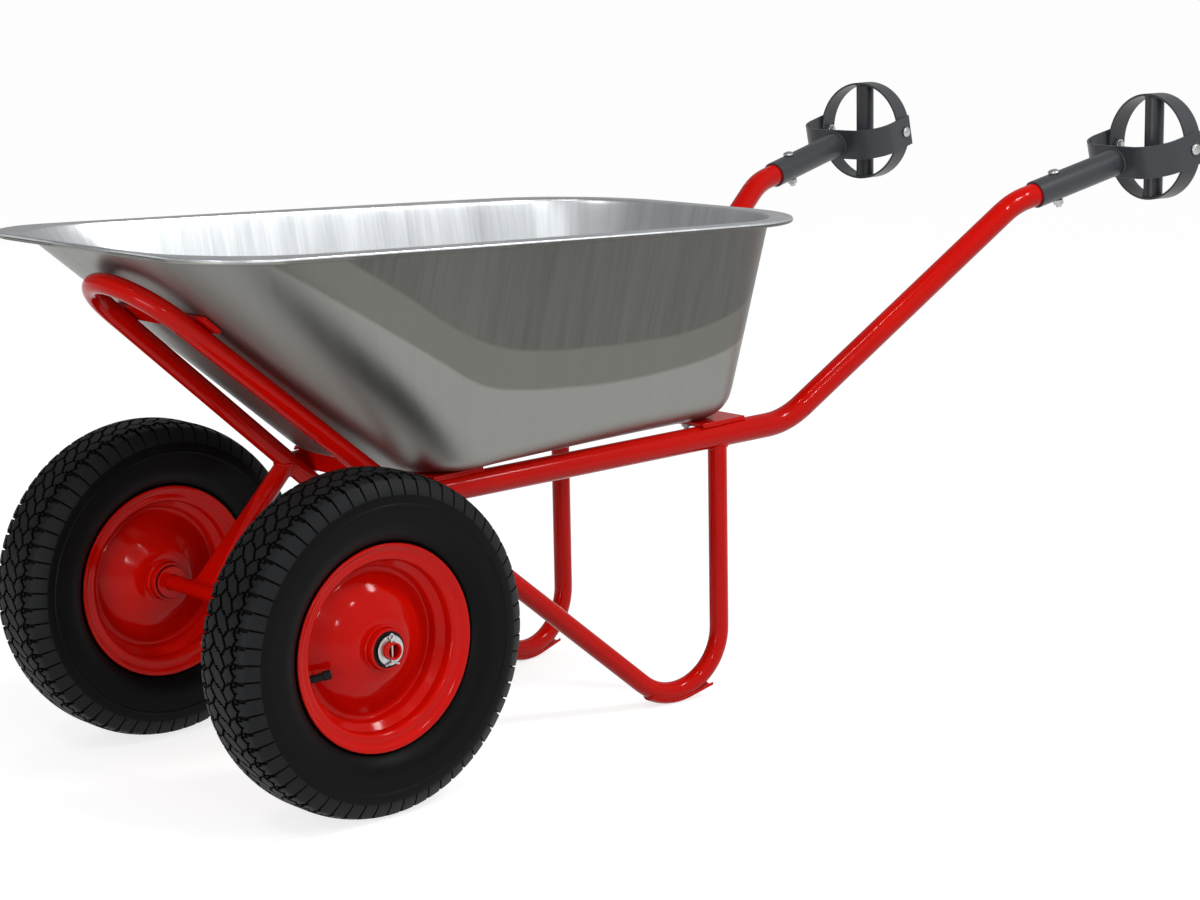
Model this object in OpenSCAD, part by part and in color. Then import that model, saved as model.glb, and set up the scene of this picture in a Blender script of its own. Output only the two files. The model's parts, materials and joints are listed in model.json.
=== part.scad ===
// Two wheel wheelbarrow: a pressed steel tub on a bent tube frame, two pneumatic wheels
// on one axle, and swivelling hoop grips on the rail ends.
// +X points to the nose, +Y to the left, +Z up. Distances along X are measured from the axle.

/* [Tub] */
// Thickness of the tub's steel sheet
tub_t = 1.2; // [1:0.1:1.6]
// Width over the lip at the front corners
tub_front_w = 550; // [536:2:564]
// Width over the lip at the rear corners
tub_rear_w = 514; // [504:2:526]
// Distance from the axle back to the lip's rear edge
tub_rear_x = 757; // [748:1:766]
// Height of the lip over the axle
tub_rim_h = 649; // [643:1:655]
// Rise of the lip towards the nose, in degrees
tub_rim_pitch = 1.8; // [1.2:0.1:2.4]
// Width of the lip in front of the front wall
tub_lip_front = 4; // [4:0.5:8]
// Width of the lip along the sides and the rear
tub_lip_side = 25; // [21:1:29]
// Outward bow of the lip's long sides
tub_side_bow = 5; // [2:1:8]
// Radius of the rolled edge of the lip
tub_curl_r = 3.5; // [3:0.5:4.5]
// Radius of the bend between wall and lip
tub_lip_bend_r = 6; // [4:0.5:8]
// Width of the floor at its front, before the edges are rounded
tub_floor_front_w = 350; // [340:2:364]
// Width of the floor at its rear, before the edges are rounded
tub_floor_rear_w = 336; // [326:2:344]
// Distance from the axle back to the floor's rear edge
tub_floor_rear_x = 652; // [646:1:656]
// Radius of the rounded edge between floor and walls
tub_floor_bend_r = 45; // [38:1:50]
// Corner radius of the lip's front corners
tub_lip_front_r = 115; // [105:1:125]
// Corner radius of the lip's rear corners
tub_lip_rear_r = 165; // [156:1:172]
// Corner radius of the walls at the front, under the lip
tub_wall_front_r = 165; // [155:1:175]
// Corner radius of the walls at the rear, under the lip
tub_wall_rear_r = 148; // [140:1:156]
// Corner radius of the floor's front corners
tub_floor_front_r = 105; // [95:1:115]
// Corner radius of the floor's rear corners
tub_floor_rear_r = 45; // [42:1:52]

/* [Leg loop] */
// Diameter of the tube that forms the nose loop and both legs
leg_d = 25; // [23:0.5:27]
// Wall of the leg tube
leg_wall = 1.5; // [1.2:0.1:2]
// Distance from the axle back to the upright legs
leg_x = 621; // [612:1:630]
// Distance from the middle plane out to each leg
leg_y = 158; // [154:1:163]
// Bend radius of the tube's feet, on the tube's axis
leg_bend_r = 76; // [70:1:82]
// Slope of the arms that rise to the nose, in degrees
arm_pitch = 40.2; // [39.6:0.1:40.8]
// Angle in plan at which the arms draw together towards the nose, in degrees
arm_splay = 6.3; // [5.9:0.1:6.7]
// Distance from the axle forward to the tip of the nose loop
nose_x = 180; // [172:1:188]
// Thickness of the skid strips under the feet
skid_t = 3; // [2:0.5:4]
// Width of the skid strips
skid_w = 20; // [14:1:22]
// Length of each skid's straight tail behind the foot
skid_tail = 37; // [28:1:46]
// Thickness of the rest strip across the nose loop
nose_strip_t = 6; // [5:0.5:7]
// Width of the rest strip
nose_strip_w = 28; // [24:1:34]
// Distance from the axle forward to the rest strip
nose_strip_x = 110; // [100:1:120]

/* [Rails] */
// Diameter of the rail tubes
rail_d = 32; // [30:0.5:34]
// Wall of the rail tubes
rail_wall = 1.6; // [1.2:0.1:2]
// Height of the rails' axis over the legs
rail_h = 346; // [340:1:352]
// Fall of the rails towards the nose, in degrees
rail_pitch = 1.4; // [1:0.1:1.8]
// Distance from the axle back to the bend where the rails start to rise
rail_bend_x = 740; // [732:1:750]
// Bend radius of the rails, on the tube's axis
rail_bend_r = 100; // [85:1:110]
// Distance from the axle back to the upper bend of the rails
shoulder_x = 1098; // [1085:1:1110]
// Distance from the middle plane out to the upper bend
shoulder_y = 249; // [242:1:256]
// Height of the upper bend
shoulder_h = 615; // [605:1:625]
// Thickness of the two crossbars' folded plate
bar_t = 4; // [3:0.5:5]
// Width of the crossbars along the rails
bar_w = 75; // [70:1:80]
// Depth of the crossbars' folded flange
bar_flange = 22; // [18:1:28]
// Distance from the axle back to the middle of the front crossbar
front_bar_x = 206; // [202:1:214]
// Distance from the axle back to the middle of the rear crossbar
rear_bar_x = 626; // [622:1:630]

/* [Axle and struts] */
// Diameter of the axle tube
axle_d = 20; // [18:0.5:22]
// Wall of the axle tube
axle_wall = 2; // [1.5:0.1:3]
// Distance between the middle planes of the wheels
track = 456; // [446:2:480]
// Length of axle beyond each washer
axle_end = 7; // [6:0.5:9]
// Diameter of the collars welded to the axle inside the wheels
collar_d = 40; // [34:1:44]
// Thickness of the collars
collar_t = 4; // [3:0.5:6]
// Diameter of the strut tubes
strut_d = 25; // [23:0.5:27]
// Distance from the middle plane out to each strut's foot on the axle
strut_y = 114; // [110:1:118]
// Distance from the axle back to where the struts meet the arms
strut_x = 129; // [125:1:133]
// Length of the flattened foot of the struts
strut_foot = 140; // [130:1:150]
// Width of the flattened foot on the axle
strut_foot_w = 39; // [34:1:44]
// Thickness of the flattened foot
strut_foot_t = 7; // [5:0.5:9]

/* [Wheels] */
// Outside diameter of the tyres
tyre_d = 400; // [392:2:404]
// Width of the tyres at their widest
tyre_w = 102; // [96:1:106]
// Width of the tread
tread_w = 80; // [76:1:86]
// Thickness of the tyre under the tread
tread_t = 12; // [9:1:14]
// Thickness of the tyre's side walls
side_t = 5; // [4:0.5:6]
// Diameter over the rim's rolled edges
rim_d = 242; // [238:1:246]
// Width over the rim's rolled edges
rim_w = 76; // [72:1:78]
// Diameter on which the tyre's beads sit
bead_d = 203; // [200:1:206]
// Sheet thickness of the rim halves
rim_t = 2; // [1.6:0.1:2.4]
// Diameter of the drop well between the beads
well_d = 180; // [176:1:184]
// Diameter of the valley where the two rim halves meet
valley_d = 164; // [160:1:168]
// Height of each rim half's dome over the wheel's middle plane
dome_h = 31; // [28:0.5:33]
// Diameter of the dome's crown
crown_d = 72; // [66:1:80]
// Diameter of the hub tube
hub_d = 48; // [46:0.5:50]
// Length of the hub tube
hub_l = 88; // [84:1:92]
// Outside diameter of the wheel bearings
bearing_d = 42; // [41:0.5:43]
// Width of the wheel bearings
bearing_w = 12; // [11:0.5:13]
// Diameter of the bearing balls
ball_d = 6.4; // [6:0.1:6.6]
// Number of balls in each bearing
ball_n = 9; // [8:1:10]
// Diameter of the valve stem
valve_d = 9; // [8:0.5:10]
// Length of the valve stem outside the rim
valve_l = 27; // [24:1:32]

/* [Handles] */
// Distance from the axle back to the grips' swivel axis
grip_x = 1367; // [1358:1:1376]
// Distance from the middle plane out to the middle of each grip
grip_y = 280; // [274:1:286]
// Height of the grips' swivel axis
grip_h = 677; // [670:1:684]
// Outside diameter of the hoops
hoop_d = 150; // [146:1:154]
// Width of the hoops' steel strap
hoop_w = 30; // [26:1:34]
// Thickness of the hoops' and yokes' strap
strap_t = 3; // [2.5:0.1:3.5]
// Diameter of the grip tube across each hoop
grip_d = 27; // [25:0.5:29]
// Wall of the grip tube
grip_wall = 1.5; // [1.2:0.1:2]
// Distance from the yoke's base to the swivel axis
yoke_reach = 78; // [74:1:84]
// Height of the yoke's strap
yoke_h = 46; // [40:1:48]
// Outside radius of the yoke's corners
yoke_corner_r = 46; // [38:1:52]
// Length of the yoke's arms beyond the swivel axis
yoke_tip = 14; // [12:1:16]
// Outside diameter of the handle sleeves
sleeve_d = 38; // [37:0.5:39]
// Length of the handle sleeves
sleeve_l = 159; // [150:1:166]
// Length of rail inside each sleeve
sleeve_grip = 120; // [100:1:135]
// Distance of the sleeve bolt from the sleeve's mouth
sleeve_bolt_x = 41; // [34:1:50]

/* [Fasteners] */
// Diameter of all bolts
bolt_d = 8; // [7.5:0.5:8.5]
// Diameter of the bolt heads
bolt_head_d = 16; // [14.5:0.5:17]
// Height of the bolt heads
bolt_head_h = 4.5; // [3.5:0.5:5.5]
// Width across the flats of the nuts
nut_w = 13; // [12.5:0.5:14]
// Height of the nuts
nut_h = 6.5; // [6:0.5:7]
// Outside diameter of the tub washers
washer_d = 18; // [16:0.5:20]
// Thickness of all washers
washer_t = 2; // [1.5:0.1:2.5]
// Outside diameter of the axle washers
axle_washer_d = 35; // [32:0.5:37]
// Diameter of the split pins
split_pin_d = 3; // [2.5:0.1:3.4]

/* [Hidden] */
$fn = 48;

// Finishes
zinc_sheet = "silver";
red_paint = "red";
grey_paint = "dimgray";
rubber = "#202020";
zinc_plate = "lightgray";

// Clearances: welded joints, loose seats, turning fits, bolt holes, and the overrun of cuts
weld_gap = 0.2;
seat_gap = 0.2;
turn_gap = 0.05;
side_play = 0.5;
hole_play = 0.4;
cut_over = 20;

// Vectors and rounded paths
function unit(v) = v / norm(v);
function mix(a, b, share) = a + (b - a) * share;
function turn_of(a, v, b) = acos(unit(v - a) * unit(b - v));

// Points of the arc of radius r that rounds the corner v between the lines to a and to b
function corner_arc(a, v, b, r, n) =
  let (u = unit(a - v), w = unit(b - v), half = acos(u * w) / 2)
  let (c = v + unit(u + w) * r / sin(half), s = v + u * r / tan(half), e = v + w * r / tan(half))
  let (e1 = unit(s - c), e2 = unit((e - c) - e1 * ((e - c) * e1)))
  [for (i = [0:n]) let (q = (180 - 2 * half) * i / n) c + r * (cos(q) * e1 + sin(q) * e2)];

function rounded_path(pts, radii, n) = [
  pts[0],
  for (i = [1:len(pts) - 2]) each corner_arc(pts[i - 1], pts[i], pts[i + 1], radii[i - 1], n),
  pts[len(pts) - 1]
];

// A path moved sideways by t, to the left of its direction, with mitred corners
function side_dir(a, b) = let (d = unit(b - a)) [-d.y, d.x];
function moved_path(p, t) = [
  for (i = [0:len(p) - 1])
    let (m = side_dir(p[max(i - 1, 0)], p[max(i, 1)]))
    let (k = side_dir(p[min(i, len(p) - 2)], p[min(i + 1, len(p) - 1)]))
    p[i] + (m + k) * t / (1 + m * k)
];
// A closed loop of points moved sideways in the same way
function moved_loop(p, t) = [
  for (i = [0:len(p) - 1])
    let (m = side_dir(p[(i + len(p) - 1) % len(p)], p[i]), k = side_dir(p[i], p[(i + 1) % len(p)]))
    p[i] + (m + k) * t / (1 + m * k)
];
function sheet_outline(p, t) = concat(p, [for (i = [len(p) - 1:-1:0]) moved_path(p, t)[i]]);
function flipped(p) = [for (i = [len(p) - 1:-1:0]) [p[i].x, -p[i].y]];

// Tubes: a straight run, a bend, and a bent path of both. A bend is drawn a hair thinner than the
// straight runs, and laps into them at both ends.
bend_step = 0.05;
bend_lap = 0.5;
module along(p, dir) translate(p) rotate([0, acos(dir.z), atan2(dir.y, dir.x)]) children();
module ring(d, bore) {
  difference() {
    circle(d = d);
    circle(d = bore);
  }
}
module run(p, q, d, bore) along(p, unit(q - p)) linear_extrude(norm(q - p)) ring(d, bore);
module rod(p, q, d) along(p, unit(q - p)) cylinder(d = d, h = norm(q - p));
module framed(c, ex, ey) {
  ez = cross(ex, ey);
  multmatrix([[ex.x, ey.x, ez.x, c.x], [ex.y, ey.y, ez.y, c.y], [ex.z, ey.z, ez.z, c.z]]) children();
}
module bend(a, v, b, r, d, bore) {
  along_in = unit(v - a);
  inward = unit(unit(b - v) - along_in * (unit(b - v) * along_in));
  start = v - along_in * r * tan(turn_of(a, v, b) / 2);
  lap = atan(bend_lap / r);
  framed(start + inward * r, -inward, along_in) rotate([0, 0, -lap])
    rotate_extrude(angle = turn_of(a, v, b) + 2 * lap)
      translate([r, 0]) ring(d - 2 * bend_step, bore + 2 * bend_step);
}
module bent_tube(pts, radii, d, bore) {
  last = len(pts) - 1;
  trims = [for (i = [0:last]) i == 0 || i == last ? 0
    : radii[i - 1] * tan(turn_of(pts[i - 1], pts[i], pts[i + 1]) / 2)];
  for (i = [0:last - 1]) {
    dir = unit(pts[i + 1] - pts[i]);
    run(pts[i] + dir * trims[i], pts[i + 1] - dir * trims[i + 1], d, bore);
  }
  for (i = [1:last - 1]) bend(pts[i - 1], pts[i], pts[i + 1], radii[i - 1], d, bore);
}

// The leg loop: each arm lies in an upright plane and ends in a foot bend that the skid touches
axle_h = tyre_d / 2;
foot_h = leg_bend_r + leg_d / 2 + weld_gap + skid_t;
arm_dir_plan = [cos(arm_splay), -sin(arm_splay), 0];
arm_base_z = foot_h - leg_bend_r / cos(arm_pitch) - leg_bend_r * tan(arm_pitch);
function arm_at(u) = [-leg_x, leg_y, arm_base_z] + u * (arm_dir_plan + [0, 0, tan(arm_pitch)]);
function arm_at_x(x) = arm_at((leg_x + x) / cos(arm_splay));
arm_slope = tan(arm_pitch) / cos(arm_splay);
loop_pitch = atan(arm_slope);
loop_normal = [-sin(loop_pitch), 0, cos(loop_pitch)];
loop_tip = arm_at(leg_y / sin(arm_splay));
loop_step = norm([cos(arm_splay), tan(arm_pitch)]);
loop_half = atan(sin(arm_splay) / loop_step);
nose_bend_r = (loop_tip.x - nose_x) * loop_step / cos(arm_splay) / (1 / sin(loop_half) - 1);
function other_side(p) = [p.x, -p.y, p.z];

// The rails run over the legs and lie against the outside of the arms at the front
rail_fall = tan(rail_pitch);
rail_cross = (rail_h - arm_base_z) / (arm_slope + rail_fall);
rail_touch = (leg_d + rail_d) / 2 + 2 * weld_gap;
rail_draw = rail_touch / rail_cross - tan(arm_splay);
function rail_at(x) = [x, leg_y + rail_draw * (x + leg_x), rail_h - rail_fall * (x + leg_x)];
rail_front = rail_at(rail_cross - leg_x);
rail_low = rail_at(-rail_bend_x);
rail_high = [-shoulder_x, shoulder_y, shoulder_h];
grip_mid = [-grip_x, grip_y, grip_h];
handle_dir = unit(grip_mid - rail_high);
handle_yaw = atan2(handle_dir.y, handle_dir.x);
handle_pitch = asin(handle_dir.z);
rail_end = grip_mid - handle_dir * (yoke_reach + sleeve_l - sleeve_grip);

// Heights of the tub's seat: measured square to the rails, from the rails' axis
bar_seat = rail_d / 2 + weld_gap;
floor_seat = bar_seat + bar_t + seat_gap;
bar_end_share = 0.25;
flange_gap = 2;
tub_bolt_y_share = 0.7;
bar_bolt_shift = 15;

// Tub outlines, from the middle plane outwards, on three sloping planes
function floor_z(x) = rail_h - rail_fall * (x + leg_x) + (floor_seat + tub_t) / cos(rail_pitch);
function rim_z(x) = tub_rim_h + tan(tub_rim_pitch) * x;
front_wall_lift = (leg_d / 2 + weld_gap + nose_strip_t + seat_gap + tub_t) / cos(loop_pitch);
front_wall_z0 = arm_base_z + arm_slope * leg_x + front_wall_lift;
wall_front_x = (tub_rim_h - front_wall_z0) / (arm_slope - tan(tub_rim_pitch));
floor_front_x = (floor_z(0) - front_wall_z0) / (arm_slope + rail_fall);
corner_n = 10;
side_n = 6;
function outline(front, rear, half_f, half_r, r_f, r_r, bow) =
  let (c = [[front, -half_f], [front, half_f], [rear, half_r], [rear, -half_r]], r = [r_f, r_f, r_r, r_r])
  let (arcs = [for (i = [0:3]) corner_arc(c[(i + 3) % 4], c[i], c[(i + 1) % 4], r[i], corner_n)])
  [for (i = [0:3]) each concat(arcs[i], side_points(arcs[i][corner_n], arcs[(i + 1) % 4][0], bow * (i % 2)))];
function side_points(a, b, bow) =
  [for (i = [1:side_n - 1]) let (s = i / side_n) mix(a, b, s) - side_dir(a, b) * bow * 4 * s * (1 - s)];
function on_floor(p) = [p.x, p.y, floor_z(p.x)];
function on_rim(p) = [p.x, p.y, rim_z(p.x)];

floor_inset_share = 1.4;
floor_inset = tub_floor_bend_r * floor_inset_share;
floor_in_share = 0.4;
floor_in = [for (p = outline(floor_front_x - floor_inset, floor_inset - tub_floor_rear_x,
  tub_floor_front_w / 2 - floor_inset, tub_floor_rear_w / 2 - floor_inset,
  tub_floor_front_r * floor_in_share, tub_floor_rear_r * floor_in_share, 0)) on_floor(p)];
floor_edge = [for (p = outline(floor_front_x, -tub_floor_rear_x, tub_floor_front_w / 2, tub_floor_rear_w / 2,
  tub_floor_front_r, tub_floor_rear_r, 0)) on_floor(p)];
wall_top = [for (p = outline(wall_front_x, tub_lip_side - tub_rear_x, tub_front_w / 2 - tub_lip_side,
  tub_rear_w / 2 - tub_lip_side, tub_wall_front_r, tub_wall_rear_r, tub_side_bow)) on_rim(p)];
lip_edge = [for (p = outline(wall_front_x + tub_lip_front, -tub_rear_x, tub_front_w / 2, tub_rear_w / 2,
  tub_lip_front_r, tub_lip_rear_r, tub_side_bow)) on_rim(p)];
tub_front = wall_front_x + tub_lip_front + tub_curl_r;

// One rib of the tub's inside, from the floor over the wall and lip into the rolled edge
floor_bend_n = 5;
lip_bend_n = 3;
curl_n = 6;
curl_turn = 270;
function tub_rib(i) = concat(
  corner_arc(floor_in[i], floor_edge[i], wall_top[i], tub_floor_bend_r, floor_bend_n),
  corner_arc(floor_edge[i], wall_top[i], lip_edge[i], tub_lip_bend_r, lip_bend_n),
  let (out = unit(lip_edge[i] - wall_top[i])) [for (k = [0:curl_n]) let (q = curl_turn * k / curl_n)
    lip_edge[i] + tub_curl_r * (sin(q) * out + [0, 0, cos(q) - 1])]);

// The part's origin lies under the middle of its length, on the ground
hoop_back = grip_x + hoop_w / 2 * abs(cos(handle_yaw)) + hoop_d / 2 * abs(sin(handle_yaw));
origin_x = (hoop_back - tub_front) / 2;
module placed() translate([origin_x, 0, 0]) children();
module both_sides() {
  children();
  mirror([0, 1, 0]) children();
}
module right_side() mirror([0, 1, 0]) children();

// Tub
module tub_shell() {
  ribs = [for (i = [0:len(floor_edge) - 1]) tub_rib(i)];
  n = len(ribs);
  m = len(ribs[0]);
  up = [sin(rail_pitch), 0, cos(rail_pitch)];
  skin = [for (k = [0:m - 1]) for (i = [0:n - 1]) ribs[i][k]];
  back = [for (k = [0:m - 1]) for (i = [0:n - 1])
    let (along_rib = ribs[i][min(k + 1, m - 1)] - ribs[i][max(k - 1, 0)])
    let (round_tub = ribs[(i + 1) % n][k] - ribs[(i + n - 1) % n][k])
    ribs[i][k] - tub_t * (k == 0 ? up : unit(cross(along_rib, round_tub)))];
  quads = [for (k = [0:m - 2]) for (i = [0:n - 1])
    [k * n + i, k * n + (i + 1) % n, (k + 1) * n + (i + 1) % n, (k + 1) * n + i]];
  skin_faces = [for (q = quads) each [[q[0], q[1], q[2]], [q[0], q[2], q[3]]]];
  back_faces = [for (f = skin_faces) [f[2], f[1], f[0]] + n * m * [1, 1, 1]];
  end_faces = [for (i = [0:n - 1]) let (a = (m - 1) * n + i, b = (m - 1) * n + (i + 1) % n)
    each [[a, b, b + n * m], [a, b + n * m, a + n * m]]];
  floor_faces = [[for (i = [n - 1:-1:0]) i], [for (i = [0:n - 1]) i + n * m]];
  polyhedron(points = concat(skin, back), faces = concat(skin_faces, back_faces, end_faces, floor_faces));
}
// Places of the tub bolts: on the inside of the floor, square to the rails
module at_tub_bolts() {
  for (x = [-front_bar_x, bar_bolt_shift - rear_bar_x])
    for (s = [-1, 1])
      translate([x, s * tub_bolt_y_share * rail_at(x).y, floor_z(x)]) rotate([0, rail_pitch, 0]) children();
}
module bolt_hole(reach) translate([0, 0, -reach]) cylinder(d = bolt_d + 2 * hole_play, h = 2 * reach);
module tub() {
  color(zinc_sheet) placed() difference() {
    tub_shell();
    at_tub_bolts() bolt_hole(cut_over);
  }
}

// Leg loop, skids and nose strip
module leg_loop() {
  top = [-leg_x, leg_y, rail_h];
  foot = arm_at(0);
  color(red_paint) placed() difference() {
    bent_tube([top, foot, loop_tip, other_side(foot), other_side(top)],
      [leg_bend_r, nose_bend_r, leg_bend_r], leg_d, leg_d - 2 * leg_wall);
    both_sides() rod(rail_at(-leg_x - rail_d), rail_at(-leg_x + rail_d), rail_d + 2 * weld_gap);
  }
}
skid_front_turn = 118;
skid_tail_turn = 75;
module skid_section() {
  translate([leg_bend_r, 0]) intersection() {
    ring(leg_d + 2 * (weld_gap + skid_t), leg_d + 2 * weld_gap);
    translate([0, -skid_w / 2]) square([leg_d, skid_w]);
  }
}
module skid() {
  framed([-leg_x, leg_y, foot_h] + leg_bend_r * arm_dir_plan, -arm_dir_plan, [0, 0, -1]) {
    rotate([0, 0, skid_tail_turn]) {
      rotate_extrude(angle = skid_front_turn - skid_tail_turn) skid_section();
      rotate([90, 0, 0]) linear_extrude(skid_tail) skid_section();
    }
  }
}
module left_skid() color(red_paint) placed() skid();
module right_skid() color(red_paint) placed() right_side() skid();
nose_strip_past = 5;
module nose_strip() {
  seat = arm_at_x(nose_strip_x);
  half = seat.y + leg_d / 2 + nose_strip_past;
  color(red_paint) placed()
    translate([seat.x, 0, seat.z] + loop_normal * (leg_d / 2 + weld_gap)) rotate([0, -loop_pitch, 0])
      translate([-nose_strip_w / 2, -half, 0]) cube([nose_strip_w, 2 * half, nose_strip_t]);
}

// Rails and crossbars
module rail() {
  difference() {
    bent_tube([rail_front, rail_low, rail_high, rail_end], [rail_bend_r, rail_bend_r], rail_d,
      rail_d - 2 * rail_wall);
    at_sleeve_bolt() bolt_hole(rail_d);
  }
}
module left_rail() color(red_paint) placed() rail();
module right_rail() color(red_paint) placed() right_side() rail();
// A crossbar lies on both rails, with its flange folded down at its forward or rearward edge
module crossbar(x, flange_at) {
  half = rail_at(x).y + rail_d * bar_end_share;
  inner = rail_at(x + bar_w / 2).y - rail_d / 2 - flange_gap;
  translate([x, 0, rail_at(x).z]) rotate([0, rail_pitch, 0]) {
    translate([-bar_w / 2, -half, bar_seat]) cube([bar_w, 2 * half, bar_t]);
    translate([flange_at * (bar_w - bar_t) / 2 - bar_t / 2, -inner, bar_seat - bar_flange])
      cube([bar_t, 2 * inner, bar_flange]);
  }
}
module front_crossbar() {
  color(red_paint) placed() difference() {
    crossbar(-front_bar_x, 1);
    at_tub_bolts() bolt_hole(cut_over);
  }
}
module rear_crossbar() {
  color(red_paint) placed() difference() {
    crossbar(-rear_bar_x, -1);
    at_tub_bolts() bolt_hole(cut_over);
  }
}

// Struts: a tube from each arm down to a flattened foot on the axle
blade_edge_share = 0.1;
blade_fn = 32;
strut_cut = 2 * leg_d;
module strut() {
  foot = [0, strut_y, axle_h];
  top = arm_at_x(-strut_x);
  dir = unit(top - foot);
  thin = strut_foot_t * blade_edge_share;
  difference() {
    union() {
      run(foot + dir * (strut_foot - bend_lap), top, strut_d, strut_d - 2 * leg_wall);
      hull() {
        rod(foot + dir * (strut_foot - thin), foot + dir * strut_foot, strut_d - 2 * bend_step,
          $fn = blade_fn);
        framed(foot, unit(cross(dir, [0, 1, 0])), unit([0, 1, 0] - dir * dir.y))
          translate([-strut_foot_t / 2, -strut_foot_w / 2, -thin])
            cube([strut_foot_t, strut_foot_w, 2 * thin]);
      }
    }
    rod(arm_at_x(-strut_x - strut_cut), arm_at_x(strut_cut - strut_x), leg_d + 2 * weld_gap);
    rod([0, strut_y - strut_foot_w, axle_h], [0, strut_y + strut_foot_w, axle_h], axle_d + 2 * weld_gap);
  }
}
module left_strut() color(red_paint) placed() strut();
module right_strut() color(red_paint) placed() right_side() strut();

// Axle
hub_face_y = track / 2 + hub_l / 2;
washer_y = hub_face_y + washer_t;
pin_y = washer_y + washer_t + split_pin_d / 2 + hole_play;
axle_half = washer_y + washer_t + axle_end;
module on_axle(y) translate([0, y, axle_h]) rotate([-90, 0, 0]) children();
module axle() {
  color(red_paint) placed() difference() {
    on_axle(-axle_half) linear_extrude(2 * axle_half) ring(axle_d, axle_d - 2 * axle_wall);
    both_sides() translate([0, pin_y, axle_h - axle_d])
      cylinder(d = split_pin_d + 2 * hole_play, h = 2 * axle_d);
  }
}
module axle_collars() {
  color(red_paint) placed() both_sides() on_axle(track / 2 - hub_l / 2 - side_play - collar_t)
    linear_extrude(collar_t) ring(collar_d, axle_d + 2 * weld_gap);
}
module axle_washers() {
  color(zinc_plate) placed() both_sides() on_axle(washer_y)
    linear_extrude(washer_t) ring(axle_washer_d, axle_d + 2 * hole_play);
}
// A split pin: its eye above the axle, and two legs turned out below it
pin_leg_share = 0.7;
pin_leg_turn = 70;
module split_pin() {
  eye_r = split_pin_d;
  leg_l = axle_d / 2;
  cylinder(d = split_pin_d, h = axle_d + 2 * split_pin_d, center = true);
  translate([0, 0, axle_d / 2 + split_pin_d + eye_r]) rotate([90, 0, 0])
    rotate_extrude() translate([eye_r, 0]) circle(d = split_pin_d * pin_leg_share);
  translate([0, 0, -axle_d / 2 - split_pin_d]) for (s = [-1, 1]) rotate([0, s * pin_leg_turn, 0])
    translate([0, 0, -leg_l]) cylinder(d = split_pin_d * pin_leg_share, h = leg_l);
}
module split_pins() {
  color(zinc_plate) placed() both_sides() translate([0, pin_y, axle_h]) split_pin();
}

// Wheels, drawn round an axis along Z whose plus end faces outwards
module wheel(s) {
  placed() {
    if (s > 0) on_axle(track / 2) children();
    else right_side() on_axle(track / 2) children();
  }
}
// Rim half: one pressing from the collar on the hub over the dome, the valley, the drop well
// and the bead seat to the rolled edge. The path is the side that faces the tyre.
path_n = 4;
collar_share = 0.1;
well_top_share = 0.19;
seat_start_share = 0.24;
flange_back_share = 3.5;
rim_bend_shares = [1, 10, 6, 2, 2, 1.5, 2, 3];
seat_w = rim_w / 2 - rim_t * flange_back_share;
rim_path = rounded_path([
  [hub_d / 2 + weld_gap, dome_h + hub_d * collar_share], [hub_d / 2 + weld_gap, dome_h - rim_t],
  [crown_d / 2, dome_h - rim_t], [valley_d / 2, weld_gap / 2], [well_d / 2, weld_gap / 2],
  [well_d / 2 + rim_t, rim_w * well_top_share], [bead_d / 2, rim_w * seat_start_share],
  [bead_d / 2, seat_w], [rim_d / 2 - 2 * rim_t, seat_w + rim_t / 2], [rim_d / 2, rim_w / 2]
], rim_bend_shares * rim_t, path_n);
rim_outline = sheet_outline(rim_path, rim_t);

// The valve leans out of the riser between drop well and bead seat, towards the hub
valve_turn = 14;
valve_lean = 28;
valve_seat_r = (well_d + bead_d) / 4;
valve_seat_w = rim_w * (well_top_share + seat_start_share) / 2;
module at_valve() {
  rotate([0, 0, valve_turn]) translate([valve_seat_r, 0, valve_seat_w])
    rotate([0, valve_lean - 90, 0]) children();
}
module rim_half() rotate_extrude() polygon(rim_outline);
module outer_rim_half() {
  difference() {
    rim_half();
    at_valve() translate([0, 0, -2 * valve_d]) cylinder(d = valve_d + 2 * hole_play, h = 4 * valve_d);
  }
}
module left_outer_rim_half() color(red_paint) wheel(1) outer_rim_half();
module right_outer_rim_half() color(red_paint) wheel(-1) outer_rim_half();
module left_inner_rim_half() color(red_paint) wheel(1) mirror([0, 0, 1]) rim_half();
module right_inner_rim_half() color(red_paint) wheel(-1) mirror([0, 0, 1]) rim_half();
valve_foot_share = 0.3;
valve_cap_share = 0.35;
module valve() {
  at_valve() {
    translate([0, 0, -valve_d * valve_foot_share]) cylinder(d = valve_d, h = valve_l);
    translate([0, 0, valve_l * (1 - valve_cap_share)])
      cylinder(d = valve_d + rim_t, h = valve_l * valve_cap_share);
  }
}
module left_valve() color(rubber) wheel(1) valve();
module right_valve() color(rubber) wheel(-1) valve();

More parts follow.
